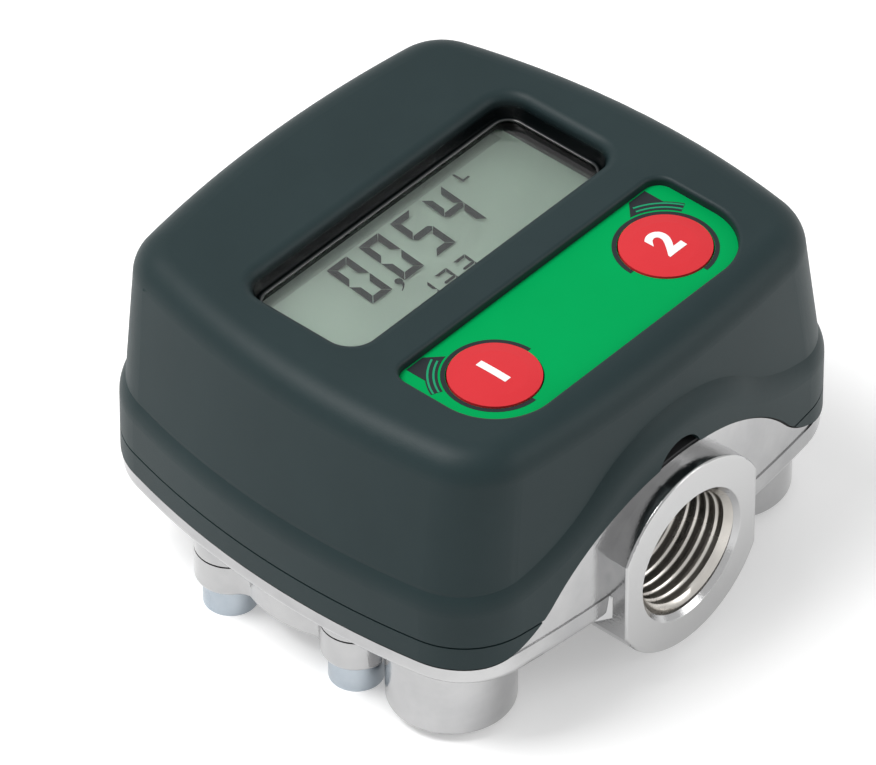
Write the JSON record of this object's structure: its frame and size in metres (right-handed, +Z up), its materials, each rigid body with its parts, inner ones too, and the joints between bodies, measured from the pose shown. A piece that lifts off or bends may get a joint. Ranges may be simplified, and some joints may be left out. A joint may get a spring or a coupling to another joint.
{
  "type": "digital flow meter",
  "caption": "Compact in-line digital meter for oil: plated gear chamber body with opposite female thread ports, black cover with display window and red buttons.",
  "frame": {"origin": "middle of the meter on the plane on which its four cover screws stand", "axes": "+Z up through the display, Y along the flow through both ports with the inlet at -Y, +X along the reading direction of the display"},
  "size_m": [0.0919, 0.0878, 0.0558],
  "materials": {
    "plated_casting": "satin nickel plating on a die casting",
    "zinc_screw": "bluish zinc plating",
    "stainless_steel": "ground stainless steel",
    "seal_rubber": "matte nitrile rubber",
    "black_cover": "fine matte moulded surface",
    "grey_moulding": "matte moulding",
    "board_green": "solder mask",
    "chip_black": "matte",
    "brass_contact": "gold coloured plating",
    "lcd_glass": "grey-green reflective display",
    "label_green": "printed polyester overlay",
    "bezel_black": "gloss",
    "clear_lens": "clear polycarbonate",
    "gear_polymer": "moulded filled polymer",
    "magnet_nickel": "nickel plating",
    "battery_wrap": "printed film sleeve",
    "cap_plastic": "moulded plug",
    "button_red": "printed soft dome"
  },
  "bodies": {
    "root": {"battery_contact_left": "brass_contact", "battery_contact_right": "brass_contact", "board_chips": "chip_black", "board_screws": "zinc_screw", "chamber_cover": "plated_casting", "chamber_screws": "zinc_screw", "chamber_seal": "seal_rubber", "circuit_board": "board_green", "cover_gasket": "seal_rubber", "display_lens": "clear_lens", "display_tray": "grey_moulding", "gear_shaft_left": "stainless_steel", "gear_shaft_right": "stainless_steel", "inlet_strainer": "stainless_steel", "key_switches": "chip_black", "keypad_label": "label_green", "lcd_bezel": "bezel_black", "lcd_panel": "lcd_glass", "lcd_strips": "seal_rubber", "meter_body": "plated_casting", "outer_cover": "black_cover", "pulse_sensors": "chip_black", "sensor_board": "board_green", "sensor_header": "brass_contact", "tray_screws": "zinc_screw"},
    "gear_left_set": {"gear_left": "gear_polymer", "gear_magnets_left": "magnet_nickel"},
    "button_left_set": {"button_left": "button_red", "switch_stem_left": "chip_black"},
    "cell_left_set": {"battery_left": "battery_wrap", "battery_spring_left": "brass_contact"},
    "cap_left_set": {"battery_cap_left": "cap_plastic", "battery_cap_seal_left": "seal_rubber"},
    "gear_right_set": {"gear_right": "gear_polymer", "gear_magnets_right": "magnet_nickel"},
    "button_right_set": {"button_right": "button_red", "switch_stem_right": "chip_black"},
    "cell_right_set": {"battery_right": "battery_wrap", "battery_spring_right": "brass_contact"},
    "cap_right_set": {"battery_cap_right": "cap_plastic", "battery_cap_seal_right": "seal_rubber"}
  },
  "joints": [
    {"name": "gear_left_spin", "type": "hinge", "parent": "root", "child": "gear_left_set", "pos_m": [-0.016, 0.00265, 0.0177], "axis": [0, 0, 1], "continuous": true},
    {"name": "gear_right_spin", "type": "hinge", "parent": "root", "child": "gear_right_set", "pos_m": [0.016, 0.00265, 0.0177], "axis": [0, 0, 1], "continuous": true},
    {"name": "button_left_press", "type": "slide", "parent": "root", "child": "button_left_set", "axis": [0, 0, -1], "range_m": [0, 0.0006], "stiffness_N_per_m": 2500, "springref_m": -0.0002},
    {"name": "button_right_press", "type": "slide", "parent": "root", "child": "button_right_set", "axis": [0, 0, -1], "range_m": [0, 0.0006], "stiffness_N_per_m": 2500, "springref_m": -0.0002},
    {"name": "cap_left_travel", "type": "slide", "parent": "root", "child": "cell_left_set", "axis": [0, 0, -1], "range_m": [0, 0.006]},
    {"name": "cap_left_unscrew", "type": "hinge", "parent": "cell_left_set", "child": "cap_left_set", "pos_m": [-0.03165, -0.02425, 0.00425], "axis": [0, 0, -1], "range_deg": [0, 1440]},
    {"name": "cap_right_travel", "type": "slide", "parent": "root", "child": "cell_right_set", "axis": [0, 0, -1], "range_m": [0, 0.006]},
    {"name": "cap_right_unscrew", "type": "hinge", "parent": "cell_right_set", "child": "cap_right_set", "pos_m": [0.03165, -0.02425, 0.00425], "axis": [0, 0, -1], "range_deg": [0, 1440]}
  ],
  "couplings": [
    {"joint": "gear_right_spin", "follows": "gear_left_spin", "ratio": -1},
    {"joint": "cap_left_unscrew", "follows": "cap_left_travel", "rad_per_m": 4188.8},
    {"joint": "cap_right_unscrew", "follows": "cap_right_travel", "rad_per_m": 4188.8}
  ]
}
